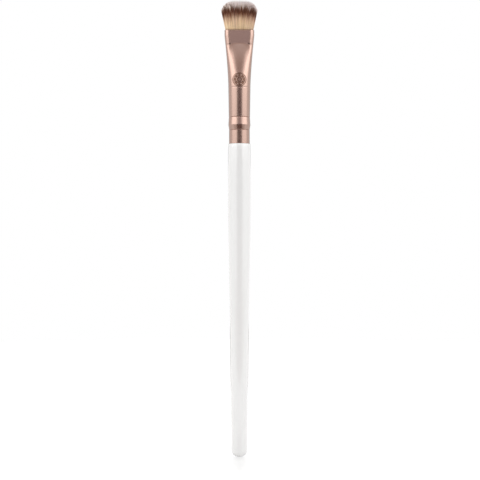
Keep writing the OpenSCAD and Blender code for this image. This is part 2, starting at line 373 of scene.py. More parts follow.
@dataclass(frozen=True)
class DyedFilament(Finish):
    """Polyester filament, drawn to a point, dyed dark in a band and bleached at the tip.

    The colour follows the piece's own map: up the map is the distance from the tip, and across it
    is the tone of one filament. Near the tip the tone is partly left out, as painted light that
    lightens the tips. Lower down the filament keeps the tan of the undyed polymer. The smooth
    polymer gives each filament a soft, narrow shine.
    """

    name: ClassVar[str] = "two_tone_polyester_filament"
    reach_mm: float = 14.0
    dye_stops: Stops = (
        (0.0, "#F8F4F6"),
        (1.9, "#FAEDE9"),
        (2.85, "#94705C"),
        (3.6, "#6E3D2A"),
        (4.5, "#74442D"),
        (5.4, "#AE846C"),
        (6.7, "#E7C8AC"),
        (8.1, "#F5D9B8"),
        (12.0, "#F5DFBA"),
    )
    tone_stops: Stops = (
        (0.0, "#FFFFFF"),
        (0.2, "#FFFBF0"),
        (0.35, "#CEC5BA"),
        (0.5, "#FFFCFA"),
        (0.65, "#C4BAB6"),
        (0.8, "#FAF4F2"),
        (1.0, "#CEC4C2"),
    )
    # Over the last millimetres to the tip the tone is partly left out: painted light on the tips.
    painted_light_tip_mm: float = 1.2
    painted_light_end_mm: float = 2.6
    painted_light_tip_tone: float = 0.45
    roughness: float = 0.42
    gloss: float = 0.35

    def lay_out(self, tree: bpy.types.NodeTree) -> bpy.types.Node:
        """Lay out the dye along the filament and its tone across the map.

        Args:
            tree: Empty node tree of the material.

        Returns:
            The shader.
        """
        where = add_node(tree, "ShaderNodeUVMap", uv_map=FILAMENT_MAP)
        split = add_node(tree, "ShaderNodeSeparateXYZ", {"Vector": where}).outputs
        stops = tuple((distance / self.reach_mm, colour) for distance, colour in self.dye_stops)
        dye = add_node(tree, "ShaderNodeValToRGB", {"Fac": split["Y"]}, stops=stops)
        tone = add_node(tree, "ShaderNodeValToRGB", {"Fac": split["X"]}, stops=self.tone_stops)
        # Keep less of the tone near the tip: painted light that lightens the tips.
        low, high = self.painted_light_tip_mm / self.reach_mm, self.painted_light_end_mm / self.reach_mm
        feeds = {"Value": split["Y"], "From Min": low, "From Max": high}
        feeds |= {"To Min": self.painted_light_tip_tone, "To Max": 1.0}
        toned = add_node(tree, "ShaderNodeMapRange", feeds)
        feeds = {"Fac": toned, "Color1": dye, "Color2": tone}
        colour = add_node(tree, "ShaderNodeMixRGB", feeds, blend_type="MULTIPLY")
        feeds = {"Base Color": colour, "Roughness": self.roughness}
        feeds |= {"Specular IOR Level": self.gloss}
        return add_node(tree, "ShaderNodeBsdfPrincipled", feeds)


@dataclass(frozen=True)
class SpeckledFilling(Finish):
    """A filling with a speckle through it, which dulls and dents it.

    Glue, resin, thread and packed roots all look so inside a ferrule. On the packed roots the
    speckle is painted shade in the gaps between the filaments.
    """

    name: str
    colour: str
    speckle: str
    cell_mm: tuple[float, float, float]
    roughness: float
    depth_mm: float = 0.01
    speckle_to: float = 0.35
    colour_from: float = 0.65

    def lay_out(self, tree: bpy.types.NodeTree) -> bpy.types.Node:
        """Lay out the speckle.

        Args:
            tree: Empty node tree of the material.

        Returns:
            The shader.
        """
        speckle = self.pattern(tree, self.cell_mm)
        stops = ((self.speckle_to, self.speckle), (self.colour_from, self.colour))
        colour = add_node(tree, "ShaderNodeValToRGB", {"Fac": speckle}, stops=stops)
        feeds = {"Base Color": colour, "Roughness": self.roughness}
        return self.dented(tree, speckle, self.depth_mm, feeds)


def start_clean() -> None:
    """Leave object mode with nothing selected."""
    if bpy.context.mode != "OBJECT":
        bpy.ops.object.mode_set(mode="OBJECT")
    bpy.ops.object.select_all(action="DESELECT")


def start_ring(columns: int, ring: Ring, filled: bool) -> bpy.types.Object:
    """Add a ring in edit mode, selected and ready to be drawn up.

    Args:
        columns: Number of points round the ring.
        ring: Its radius and level, in millimetres.
        filled: Whether a face closes it, which closes what is drawn from it at both ends.

    Returns:
        The new object.
    """
    start_clean()
    radius, z = ring
    bpy.ops.mesh.primitive_circle_add(
        vertices=columns,
        radius=radius * MM,
        fill_type="NGON" if filled else "NOTHING",
        location=(0, 0, z * MM),
        enter_editmode=True,
    )
    return bpy.context.object


def extrude(step: Sequence[float]) -> None:
    """Extrude what is selected by a step in millimetres."""
    bpy.ops.mesh.extrude_region_move(TRANSFORM_OT_translate={"value": [c * MM for c in step]})


def draw_up(rings: Sequence[Ring]) -> None:
    """Extrude the selected ring through more rings.

    Args:
        rings: Radius and level of each ring in millimetres, the selected one first.
    """
    for (radius, z), (next_radius, next_z) in pairwise(rings):
        extrude((0, 0, next_z - z))
        share = next_radius / radius
        bpy.ops.transform.resize(value=(share, share, 1), center_override=(0, 0, next_z * MM))


def pick(piece: bpy.types.Object, element: Element, test: Callable[[Any], bool]) -> None:
    """Select, in edit mode, only the elements of a mesh that pass a test.

    Args:
        piece: Object in edit mode.
        element: Kind of element to select.
        test: Says whether an element is selected.
    """
    bpy.ops.mesh.select_all(action="DESELECT")
    bpy.ops.mesh.select_mode(type=element.name)
    mesh = bmesh.from_edit_mesh(piece.data)
    for item in filter(test, getattr(mesh, element.value)):
        item.select_set(True)
    bmesh.update_edit_mesh(piece.data)


def face_outwards() -> None:
    """Turn all faces of the mesh in edit mode outwards."""
    bpy.ops.mesh.select_all(action="SELECT")
    bpy.ops.mesh.normals_make_consistent(inside=False)


def settle(piece: bpy.types.Object, name: str) -> None:
    """Leave edit mode, name the piece and move its place into its mesh.

    Args:
        piece: Object in either mode.
        name: Name for the object and its mesh.
    """
    start_clean()
    piece.name = piece.data.name = name
    piece.select_set(True)
    bpy.context.view_layer.objects.active = piece
    bpy.ops.object.transform_apply(location=True, rotation=True, scale=True)


def apply_modifier(piece: bpy.types.Object, kind: str, **settings: Any) -> None:
    """Add a modifier to the piece and apply it.

    Args:
        piece: Object in object mode.
        kind: Blender's type name for the modifier.
        **settings: Properties of the modifier.
    """
    modifier = piece.modifiers.new(kind, kind)
    for name, value in settings.items():
        setattr(modifier, name, value)
    bpy.context.view_layer.objects.active = piece
    bpy.ops.object.modifier_apply(modifier=modifier.name)


def smooth(piece: bpy.types.Object, angle: float = 30.0) -> None:
    """Shade the piece smooth, but for its sharp edges.

    Args:
        piece: Finished object.
        angle: Turn in degrees past which an edge stays sharp.
    """
    start_clean()
    piece.select_set(True)
    bpy.context.view_layer.objects.active = piece
    bpy.ops.object.shade_smooth_by_angle(angle=math.radians(angle))


def hand_over(piece: bpy.types.Object, finish: Finish, slot: str, *nodes: str) -> None:
    """Dress a finished piece and put it in the place of its CAD nodes.

    Args:
        piece: Finished object.
        finish: Finish that it wears.
        slot: Name of the record's material slot. Not used.
        *nodes: CAD nodes that it stands for.
    """
    piece.data.materials.clear()
    piece.data.materials.append(finish.material())
    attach(piece, BODY)
    if nodes:
        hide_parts(*nodes)
    log.info("%s: %d faces, %s", piece.name, len(piece.data.polygons), finish.name)


def with_holds(rings: Sequence[Ring], hold: float, least: float = 3.0) -> list[Ring]:
    """Add a ring close to both ends of every stretch, so that shading keeps it straight.

    Args:
        rings: Corners of an outline, as radius and level in millimetres.
        hold: Distance of the added rings from the corners.
        least: How many times that distance a stretch is longer than, if it gets rings.

    Returns:
        The corners with the rings between them.
    """
    held: list[Ring] = [rings[0]]
    for (r0, z0), (r1, z1) in pairwise(rings):
        length = math.hypot(r1 - r0, z1 - z0)
        shares = (hold / length, 1 - hold / length) if length > least * hold else ()
        held += [(r0 + (r1 - r0) * s, z0 + (z1 - z0) * s) for s in shares]
        held.append((r1, z1))
    return held


@dataclass(frozen=True)
class LacqueredHandle:
    """Turned handle: rounded end, long hollow taper, straight belly, neck, shoulder and tenon."""

    sizes: FrameSizes
    end_d: float = 6.1
    end_dome_h: float = 3.0
    end_power: float = 2.4
    belly_h: float = 11.0
    neck_h: float = 15.0
    neck_power: float = 1.8
    taper_hollow: float = 0.13
    shoulder_d: float = 8.46
    shoulder_round: float = 0.2
    tenon_d: float = 6.96
    tenon_chamfer: float = 0.5
    columns: int = 128
    dome_rings: int = 14
    taper_rings: int = 28
    neck_rings: int = 12
    round_rings: int = 5
    sharp_angle: float = 35.0

    def rings(self) -> list[Ring]:
        """Find the rings of the lathe, from under the rounded end up to the tenon's tip.

        Returns:
            Radius and level of each ring in millimetres.
        """
        end_r, belly_r, shoulder_r = self.end_d / 2, self.sizes.belly_d / 2, self.shoulder_d / 2
        shoulder_z, tenon_r = self.sizes.shoulder_z, self.tenon_d / 2
        neck_z = shoulder_z - self.neck_h
        belly_z = neck_z - self.belly_h
        rings = []
        for i in range(1, self.dome_rings + 1):
            turn = math.radians(90 * i / self.dome_rings)
            rise = 1 - math.cos(turn) ** (2 / self.end_power)
            rings.append((end_r * math.sin(turn) ** (2 / self.end_power), self.end_dome_h * rise))
        rings[0] = (rings[0][0], 0.0)
        for i in range(1, self.taper_rings + 1):
            share = i / self.taper_rings
            hollow = self.taper_hollow * math.sin(math.pi * share) ** 2
            radius = end_r + (belly_r - end_r) * share - hollow
            rings.append((radius, self.lift(self.end_dome_h, belly_z, share)))
        for i in range(self.neck_rings + 1):
            share = i / self.neck_rings
            radius = belly_r + (shoulder_r - belly_r) * share**self.neck_power
            rings.append((radius, self.lift(neck_z, shoulder_z - self.shoulder_round, share)))
        for i in range(1, self.round_rings + 1):
            turn = math.radians(90 * i / self.round_rings)
            inward = self.shoulder_round * (1 - math.cos(turn))
            down = self.shoulder_round * (1 - math.sin(turn))
            rings.append((shoulder_r - inward, shoulder_z - down))
        top_z = self.sizes.tenon_top_z
        rings.append((tenon_r, shoulder_z))
        rings.append((tenon_r, top_z - self.tenon_chamfer))
        rings.append((tenon_r - self.tenon_chamfer, top_z))
        return rings

    @staticmethod
    def lift(low: float, high: float, share: float) -> float:
        """Level at a share of the way from low to high."""
        return low + (high - low) * share

    def build(self) -> None:
        """Turn the handle and lacquer it."""
        rings = self.rings()
        handle = start_ring(self.columns, rings[0], filled=True)
        draw_up(rings)
        face_outwards()
        settle(handle, "lacquered_handle")
        smooth(handle, self.sharp_angle)
        hand_over(handle, SprayedLacquer(self.sizes.shoulder_z), "white_lacquer_on_wood", "handle")


@dataclass(frozen=True)
class FourArcOval:
    """Section of a pressed tube: a shallow arc for each face, joined smoothly to tight ends."""

    half_w: float
    half_t: float
    face_angle: float

    @property
    def excess(self) -> float:
        """How much larger the radius of the faces is than that of the ends."""
        spread = math.sin(self.face_angle) + math.cos(self.face_angle) - 1
        return (self.half_w - self.half_t) / spread

    @property
    def end_r(self) -> float:
        """Radius of the ends."""
        return self.half_w - self.excess * math.sin(self.face_angle)

    def point(self, quarter: float) -> tuple[float, float]:
        """Find a point of the quarter between the end at +X and the face at +Y.

        Args:
            quarter: Share of the quarter's length, from 0 at the end to 1 at the face.

        Returns:
            X and Y of the point in millimetres.
        """
        face_r = self.end_r + self.excess
        end_length = self.end_r * (math.pi / 2 - self.face_angle)
        face_length = face_r * self.face_angle
        way = quarter * (end_length + face_length)
        if way < end_length:
            turn = way / self.end_r
            centre_x = self.excess * math.sin(self.face_angle)
            return centre_x + self.end_r * math.cos(turn), self.end_r * math.sin(turn)
        turn = (end_length + face_length - way) / face_r
        below = self.excess * math.cos(self.face_angle)
        return face_r * math.sin(turn), face_r * math.cos(turn) - below


@dataclass(frozen=True)
class PressedFerrule:
    """Drawn tube with a bead rolled in low down and its upper end pressed flat round the tuft."""

    sizes: FrameSizes
    sleeve_d: float = 7.9
    sleeve_h: float = 5.45
    bead_rise: float = 0.26
    bead_h: float = 4.65
    crest_share: float = 0.4
    crest_half_share: float = 0.06
    crest_flank_share: float = 0.88
    tube_step: float = 0.09
    groove_h: float = 0.3
    groove_depth: float = 0.13
    press_z: float = 21.6
    press_line: float = 0.03
    mouth_t: float = 3.7
    jaw_h: float = 5.2
    full_width_h: float = 2.1
    crown_r: float = 120.0
    start_face_angle: float = 45.0
    face_angle_power: float = 0.45
    crease_ease: float = 0.004
    thin_power: float = 2.0
    widen_power: float = 1.45
    wall: float = 0.35
    lip_round: float = 0.08
    columns: int = 192
    press_rings: int = 48
    level_power: float = 1.4
    jaw_rings: int = 14
    hold: float = 0.1
    crease_soft: float = 0.3
    crease_clear: float = 1.5
    lip_segments: int = 3
    lip_angle: float = 45.0

    def level(self, height: float) -> float:
        """Level of a height above the ferrule's lower edge."""
        return self.sizes.shoulder_z + height

    @property
    def press_start_z(self) -> float:
        """Level at which the press starts to flatten the tube."""
        return self.level(self.press_z)

    @property
    def crease_z(self) -> float:
        """Level above which the two faces are parallel."""
        return self.sizes.mouth_z - self.jaw_h

    @property
    def press_r(self) -> float:
        """Radius of the tube where the flattening starts."""
        return self.sizes.tube_d / 2

    def round_rings(self) -> list[Ring]:
        """Find the rings of the round stretch, from the lower edge up to the press line.

        Returns:
            Radius and level of each ring in millimetres.
        """
        sleeve_r = self.sleeve_d / 2
        tube_r = sleeve_r + self.tube_step
        foot_z, head_z = self.level(self.sleeve_h), self.level(self.sleeve_h + self.bead_h)
        crest_z = foot_z + self.crest_share * self.bead_h
        crest_half = self.crest_half_share * self.bead_h
        flank_r = sleeve_r + self.crest_flank_share * self.bead_rise
        half = self.groove_h / 2
        corners = [
            (sleeve_r, self.level(0)),
            (sleeve_r, foot_z - self.groove_h),
            (sleeve_r - self.groove_depth, foot_z - half),
            (sleeve_r, foot_z),
            (flank_r, crest_z - crest_half),
            (sleeve_r + self.bead_rise, crest_z),
            (flank_r, crest_z + crest_half),
            (tube_r, head_z),
            (tube_r - self.groove_depth, head_z + half),
            (tube_r, head_z + self.groove_h),
            (self.press_r, self.press_start_z - self.groove_h),
            (self.press_r - self.press_line, self.press_start_z - half),
            (self.press_r, self.press_start_z),
        ]
        return with_holds(corners, self.hold)

    def pressed_levels(self) -> list[float]:
        """Find the levels of the rings above the press line, ever closer up to the crease.

        Returns:
            The levels in millimetres, from the lowest up.
        """
        low, crease, high = self.press_start_z, self.crease_z, self.sizes.mouth_z
        steps = (i / self.press_rings for i in range(1, self.press_rings))
        above = (i / self.jaw_rings for i in range(1, self.jaw_rings + 1))
        levels = [low + (crease - low) * (1 - (1 - step) ** self.level_power) for step in steps]
        levels = [z for z in levels if z < crease - self.crease_clear * self.crease_soft]
        levels += [crease - self.crease_soft, crease, crease + self.crease_soft]
        return levels + [crease + (high - crease) * share for share in above]

    def pressed(self, z: float, top_z: float, power: float) -> float:
        """How far the press has worked at a level, from 0 at its start to 1 at top_z."""
        share = (z - self.press_start_z) / (top_z - self.press_start_z)
        return min(max(share, 0.0), 1.0) ** power

    def section(self, z: float) -> FourArcOval:
        """Find the outline of the tube's outer face at a level.

        Args:
            z: The level in millimetres.

        Returns:
            The oval that the tube has there.
        """
        half_mouth_w, half_mouth_t = self.sizes.mouth_w / 2, self.mouth_t / 2
        straight = half_mouth_w - half_mouth_t
        mouth_end_r = half_mouth_t - straight**2 / (2 * (self.crown_r - half_mouth_w))
        mouth_angle = math.asin((half_mouth_w - mouth_end_r) / (self.crown_r - mouth_end_r))
        start_angle = math.radians(self.start_face_angle)
        open_share = 1 - self.pressed(z, self.crease_z, 1)
        start, way, end = (
            (share + self.crease_ease) ** self.face_angle_power for share in (0.0, open_share, 1.0)
        )
        closed = (way - start) / (end - start)
        thinned = self.pressed(z, self.crease_z, self.thin_power)
        widened = self.pressed(z, self.sizes.mouth_z - self.full_width_h, self.widen_power)
        return FourArcOval(
            half_w=self.press_r + (half_mouth_w - self.press_r) * widened,
            half_t=self.press_r + (half_mouth_t - self.press_r) * thinned,
            face_angle=mouth_angle + (start_angle - mouth_angle) * closed,
        )

    def on_section(self, turn: float, z: float) -> tuple[float, float]:
        """Find a point of the pressed tube's outer face.

        Each point keeps its share of the girth when the tube is pressed.

        Args:
            turn: Angle of the point on the round tube, in radians from +X towards +Y.
            z: Level of the point in millimetres.

        Returns:
            X and Y of the point in millimetres.
        """
        x, y = self.section(z).point(math.asin(abs(math.sin(turn))) / (math.pi / 2))
        return math.copysign(x, math.cos(turn)), math.copysign(y, math.sin(turn))

    def press(self, tube: bpy.types.Object) -> None:
        """Press the upper end of the round tube flat, point by point.

        Args:
            tube: Round tube, which has no wall yet.
        """
        for vertex in tube.data.vertices:
            x, y, z = vertex.co / MM
            if z > self.press_start_z:
                vertex.co.xy = [c * MM for c in self.on_section(math.atan2(y, x), z)]

    def build(self) -> bpy.types.Object:
        """Draw, press and anodise the ferrule.

        Returns:
            The ferrule, for what is stamped on it.
        """
        rings = self.round_rings()
        rings += [(self.press_r, z) for z in self.pressed_levels()]
        tube = start_ring(self.columns, rings[0], filled=False)
        draw_up(rings)
        face_outwards()
        settle(tube, "pressed_ferrule")
        self.press(tube)
        apply_modifier(
            tube, "SOLIDIFY", thickness=self.wall * MM, offset=-1.0, use_quality_normals=True
        )
        bpy.ops.object.mode_set(mode="EDIT")
        pick(tube, Element.EDGE, self.on_lip)
        bpy.ops.mesh.bevel(offset=self.lip_round * MM, segments=self.lip_segments, affect="EDGES")
        settle(tube, "pressed_ferrule")
        smooth(tube)
        hand_over(tube, AnodisedAluminium(), "rose_bronze_aluminium", "ferrule")
        return tube

    def on_lip(self, edge: bmesh.types.BMEdge) -> bool:
        """Say whether an edge runs round one of the tube's lips, on the outside or the inside.

        Args:
            edge: Edge of the tube in edit mode.

        Returns:
            Whether it does.
        """
        lips = (self.level(0) * MM, self.sizes.mouth_z * MM)
        if not any(all(abs(v.co.z - lip) < NEAR for v in edge.verts) for lip in lips):
            return False
        return len(edge.link_faces) == 2 and edge.calc_face_angle() > math.radians(self.lip_angle)


@dataclass(frozen=True)
class StampedRoundel:
    """Plain roundel on the ferrule's front: an etched field with raised rings and some studs."""

    ferrule: PressedFerrule
    diameter: float = 5.4
    height: float = 24.3
    bands: tuple[tuple[float, Relief], ...] = (
        (0.26, Relief.SUNK),
        (0.22, Relief.RAISED),
        (1.0, Relief.SUNK),
        (0.26, Relief.RAISED),
        (0.36, Relief.SUNK),
    )
    proud: float = 0.015
    skin: float = 0.09
    relief: float = 0.05
    stud_d: float = 0.62
    stud_flatness: float = 0.4
    stud_ring_d: float = 3.5
    studs: int = 8
    columns: int = 72
    clearance: float = 1.0
    halvings: int = 40
    rings_in_band: int = 2
    stud_fineness: int = 3
    ring_dye: str = "#A0877B"
    ring_dye_shade: str = "#957B70"

    @property
    def centre_z(self) -> float:
        """Level of the roundel's centre."""
        return self.ferrule.level(self.height)

    def front_y(self, x: float, z: float) -> float:
        """Find Y of the ferrule's front face at a place, by halving a turn ever further.

        Args:
            x: Place across the ferrule in millimetres.
            z: Level of the place.

        Returns:
            Y in millimetres.
        """
        low, high = -math.pi / 2, 0.0
        for _ in range(self.halvings):
            turn = (low + high) / 2
            if self.ferrule.on_section(turn, z)[0] < abs(x):
                low = turn
            else:
                high = turn
        return self.ferrule.on_section(low, z)[1]

    def raised_bands(self) -> list[tuple[float, float]]:
        """Find the outer and inner radius of each raised band and of the boss in the middle.

        Returns:
            The pairs of radii in millimetres, from the outside in.
        """
        radii = [self.diameter / 2]
        for width, _ in self.bands:
            radii.append(radii[-1] - width)
        pairs = zip(pairwise(radii), self.bands)
        raised = [pair for pair, (_, relief) in pairs if relief is Relief.RAISED]
        return [*raised, (radii[-1], 0.0)]

    def is_sunk(self, face: bmesh.types.BMFace) -> bool:
        """Say whether a face of the disc lies outside every raised band.

        Args:
            face: Face in edit mode.

        Returns:
            Whether it does.
        """
        middle = face.calc_center_median() / MM
        reach = math.hypot(middle.x, middle.z - self.centre_z)
        return not any(inner < reach < outer for outer, inner in self.raised_bands())

    def wrapped_disc(self, tube: bpy.types.Object, name: str) -> bpy.types.Object:
        """Lay a disc with an edge along every band on the ferrule.

        Args:
            tube: Ferrule that it is wrapped on.
            name: Name of the piece.

        Returns:
            The wrapped disc, which has no thickness yet.
        """
        start_clean()
        front = self.front_y(0, self.centre_z) - self.clearance
        bpy.ops.mesh.primitive_circle_add(
            vertices=self.columns,
            radius=self.diameter / 2 * MM,
            fill_type="NGON",
            location=(0, front * MM, self.centre_z * MM),
            rotation=(math.pi / 2, 0, 0),
            enter_editmode=True,
        )
        disc = bpy.context.object
        bpy.ops.mesh.select_mode(type=Element.FACE.name)
        for width, _ in self.bands:
            for _ in range(self.rings_in_band):
                bpy.ops.mesh.inset(thickness=width / self.rings_in_band * MM)
        bpy.ops.mesh.poke()
        settle(disc, name)
        apply_modifier(
            disc,
            "SHRINKWRAP",
            target=tube,
            wrap_method="PROJECT",
            use_project_y=True,
            use_positive_direction=True,
            use_negative_direction=False,
            offset=self.proud * MM,
        )
        return disc

    def build_studs(self) -> None:
        """Set the circle of bright studs in the field, flattened and half sunk in it."""
        start_clean()
        for i in range(self.studs):
            turn = 2 * math.pi * (i + 0.5) / self.studs
            x = self.stud_ring_d / 2 * math.sin(turn)
            z = self.centre_z + self.stud_ring_d / 2 * math.cos(turn)
            place = (x * MM, (self.front_y(x, z) - self.proud) * MM, z * MM)
            bpy.ops.mesh.primitive_ico_sphere_add(
                subdivisions=self.stud_fineness,
                radius=self.stud_d / 2 * MM,
                location=place,
                scale=(1, self.stud_flatness, 1),
            )
            if i == 0:
                bpy.ops.object.mode_set(mode="EDIT")
        studs = bpy.context.object
        settle(studs, "roundel_studs")
        smooth(studs)
        hand_over(studs, AnodisedAluminium(), "rose_bronze_aluminium")

    def build_field(self, tube: bpy.types.Object) -> None:
        """Etch the field of the roundel.

        Args:
            tube: Ferrule that it is etched in.
        """
        field = self.wrapped_disc(tube, "roundel_field")
        apply_modifier(field, "SOLIDIFY", thickness=self.skin * MM, offset=-1.0)
        smooth(field)
        hand_over(field, EtchedAluminium(), "rose_bronze_aluminium")

    def build_relief(self, tube: bpy.types.Object) -> None:
        """Raise the rings and the boss, which the laser left a little brighter than the field.

        Args:
            tube: Ferrule that they stand on.
        """
        relief = self.wrapped_disc(tube, "roundel_relief")
        bpy.ops.object.mode_set(mode="EDIT")
        pick(relief, Element.FACE, self.is_sunk)
        bpy.ops.mesh.delete(type="FACE")
        settle(relief, "roundel_relief")
        height = self.relief + self.proud
        apply_modifier(relief, "SOLIDIFY", thickness=height * MM, offset=0.5)
        smooth(relief)
        finish = AnodisedAluminium(
            "laser_marked_aluminium", dye=self.ring_dye, dye_shade=self.ring_dye_shade
        )
        hand_over(relief, finish, "rose_bronze_aluminium")

    def build(self, tube: bpy.types.Object) -> None:
        """Stamp the roundel on the ferrule.

        Args:
            tube: The ferrule.
        """
        self.build_field(tube)
        self.build_relief(tube)
        self.build_studs()


@dataclass(frozen=True)
class Clumps:
    """Clumps that the filaments gather in, each with a place, a lift, a tone and a dye drift."""

    centres: np.ndarray
    lift: np.ndarray
    tone: np.ndarray
    drift: np.ndarray

    def nearest(self, roots: np.ndarray) -> np.ndarray:
        """Number of the clump that each root is nearest to."""
        return np.argmin(((roots[:, None, :] - self.centres[None]) ** 2).sum(-1), axis=1)


@dataclass(frozen=True)
class FilamentTuft:
    """Bundle of tapered filaments that fans out of the pressed mouth and ends under a dome."""

    sizes: FrameSizes
    ferrule: PressedFerrule
    filaments: int = 7000
    pieces: int = 3
    filament_d: float = 0.115
    thinnest: float = 0.8
    thickest: float = 1.15
    sides: int = 4
    profile: tuple[Ring, ...] = (
        (1.0, 0.0),
        (1.0, 0.3),
        (1.0, 0.55),
        (0.92, 0.75),
        (0.7, 0.88),
        (0.36, 0.97),
    )
    side_drop_share: float = 0.32
    side_drop_power: float = 3.4
    face_drop_share: float = 0.2
    face_drop_power: float = 2.4
    flare_h: float = 7.2
    root_recess: float = 0.2
    mouth_gap: float = 0.06
    root_disorder: float = 0.3
    side_crowd_share: float = 0.15
    face_crowd_share: float = 0.65
    clump_count: int = 420
    pull: float = 0.3
    clump_length: float = 0.12
    filament_length: float = 0.16
    splay: float = 0.12
    most_spread: float = 2.0
    clump_dye: float = 0.5
    filament_dye: float = 0.35
    dye_follows: float = 0.42
    dye_side_drop: float = 2.2
    dye_side_power: float = 7.0
    dye_lean: float = 0.3
    tones: int = 64
    map_margin: float = 0.001
    strip_margin: float = 0.15
    middle_tone: float = 0.5
    # Lean of the tone across the tuft, which leaves its left side lighter and yellower: painted
    # light.
    painted_light_lean: float = 0.25
    clump_tone: float = 0.34
    filament_tone: float = 0.05
    plug_columns: int = 64
    plug_steps: int = 5
    plug_crown: tuple[float, ...] = (0.1, 0.06, 0.02)
    plug_sharp_angle: float = 40.0
    # Filaments cut and potted side by side: tan, with painted shade in the gaps about a filament
    # apart.
    roots_finish: SpeckledFilling = SpeckledFilling(
        "packed_filament_roots",
        colour="#A9805C",
        speckle="#5E4330",
        cell_mm=(0.09, 0.09, 0.4),
        roughness=0.6,
        depth_mm=0.03,
    )
    seed: int = 42

    @property
    def half_w(self) -> float:
        """Half the width of the bundle in the mouth."""
        return self.sizes.mouth_w / 2 - self.ferrule.wall - self.mouth_gap

    @property
    def half_t(self) -> float:
        """Half the depth of the bundle in the mouth, also the radius of its rounded ends."""
        return self.ferrule.mouth_t / 2 - self.ferrule.wall - self.mouth_gap

    @property
    def full_length(self) -> float:
        """Length of the longest filaments above the potted roots."""
        return self.sizes.tuft_top_z - self.sizes.mouth_z + self.root_recess

    def row_half_w(self, y: np.ndarray) -> np.ndarray:
        """Half the width of the bundle at a depth y."""
        return self.half_w - self.half_t + np.sqrt(np.maximum(self.half_t**2 - y**2, 0))

    def shares(self, roots: np.ndarray) -> tuple[np.ndarray, np.ndarray]:
        """Place of each root as shares of the half width of its row and of the half depth."""
        return roots[:, 0] / self.row_half_w(roots[:, 1]), roots[:, 1] / self.half_t

    def roots(self, rng: np.random.Generator) -> np.ndarray:
        """Pack the filaments' roots in the mouth, as close rods that are a little out of place.

        Args:
            rng: Source of the disorder.

        Returns:
            X and Y of each root in millimetres.
        """
        area = 4 * (self.half_w - self.half_t) * self.half_t + math.pi * self.half_t**2
        close = math.sin(math.pi / 3)
        pitch = math.sqrt(area / self.filaments / close)
        rows = int(self.half_t / (pitch * close))
        cols = int(self.half_w / pitch)
        i, j = np.meshgrid(np.arange(-rows, rows + 1), np.arange(-cols, cols + 1), indexing="ij")
        grid = np.stack([(j + 0.5 * (i % 2)) * pitch, i * pitch * close], axis=-1).reshape(-1, 2)
        grid += rng.uniform(-self.root_disorder, self.root_disorder, grid.shape) * pitch
        inside = (abs(grid[:, 1]) < self.half_t) & (abs(grid[:, 0]) < self.row_half_w(grid[:, 1]))
        return grid[inside]

    def scatter_clumps(self, roots: np.ndarray, rng: np.random.Generator) -> Clumps:
        """Choose the clumps among the roots.

        Args:
            roots: X and Y of each root in millimetres.
            rng: Source of the disorder.

        Returns:
            The clumps.
        """
        n = self.clump_count
        least = -self.most_spread * self.clump_length
        return Clumps(
            centres=roots[rng.choice(len(roots), n, replace=False)],
            lift=rng.normal(0, self.clump_length, n).clip(least, 0),
            tone=rng.uniform(-self.clump_tone, self.clump_tone, n),
            drift=rng.uniform(-self.clump_dye, self.clump_dye, n),
        )

    def filament(self) -> bpy.types.Object:
        """Model a filament one millimetre long and two across, closed below, drawn to a point.

        Returns:
            The pattern that the filaments are copied from.
        """
        straw = start_ring(self.sides, self.profile[0], filled=True)
        draw_up([*self.profile, (self.profile[-1][0], 1.0)])
        bpy.ops.mesh.merge(type="CENTER")
        settle(straw, "filament_pattern")
        return straw

    def dome(self, roots: np.ndarray) -> np.ndarray:
        """Find the length that the dome allows, which drops to the sides and to the faces.

        Args:
            roots: X and Y of each root in millimetres.

        Returns:
            The lengths in millimetres.
        """
        u, v = self.shares(roots)
        side = 1 - self.side_drop_share * abs(u) ** self.side_drop_power
        return self.full_length * side * (1 - self.face_drop_share * abs(v) ** self.face_drop_power)

    def dye_drop(self, roots: np.ndarray) -> np.ndarray:
        """Find how far the dyed band lies below the dome's top, which it follows in part.

        Args:
            roots: X and Y of each root in millimetres.

        Returns:
            The distances in millimetres.
        """
        _, v = self.shares(roots)
        face = self.full_length * self.face_drop_share * abs(v) ** self.face_drop_power
        side = self.dye_side_drop * abs(roots[:, 0] / self.half_w) ** self.dye_side_power
        return self.dye_follows * face + side

    def fan(self, roots: np.ndarray, height: np.ndarray) -> np.ndarray:
        """Spread the filaments from their roots, crowding them towards the outside of the tuft.

        Args:
            roots: X and Y in the mouth, one pair to a filament.
            height: Heights above the roots, one row to a filament.

        Returns:
            X and Y for each filament and height.
        """
        rise = height[..., None] / (self.flare_h + self.root_recess)
        flare = [self.sizes.flare_w / 2 / self.half_w, self.sizes.flare_t / 2 / self.half_t]
        reach = np.array(flare) - 1
        shares = np.stack(self.shares(roots), axis=-1)
        crowd = np.sin(shares * math.pi / 2) - shares
        half = np.stack([self.row_half_w(roots[:, 1]), np.full(len(roots), self.half_t)], axis=-1)
        outward = crowd * half * [self.side_crowd_share, self.face_crowd_share]
        crowded = roots[:, None, :] + outward[:, None, :] * np.minimum(rise, 1)
        return crowded * (1 + reach * rise)

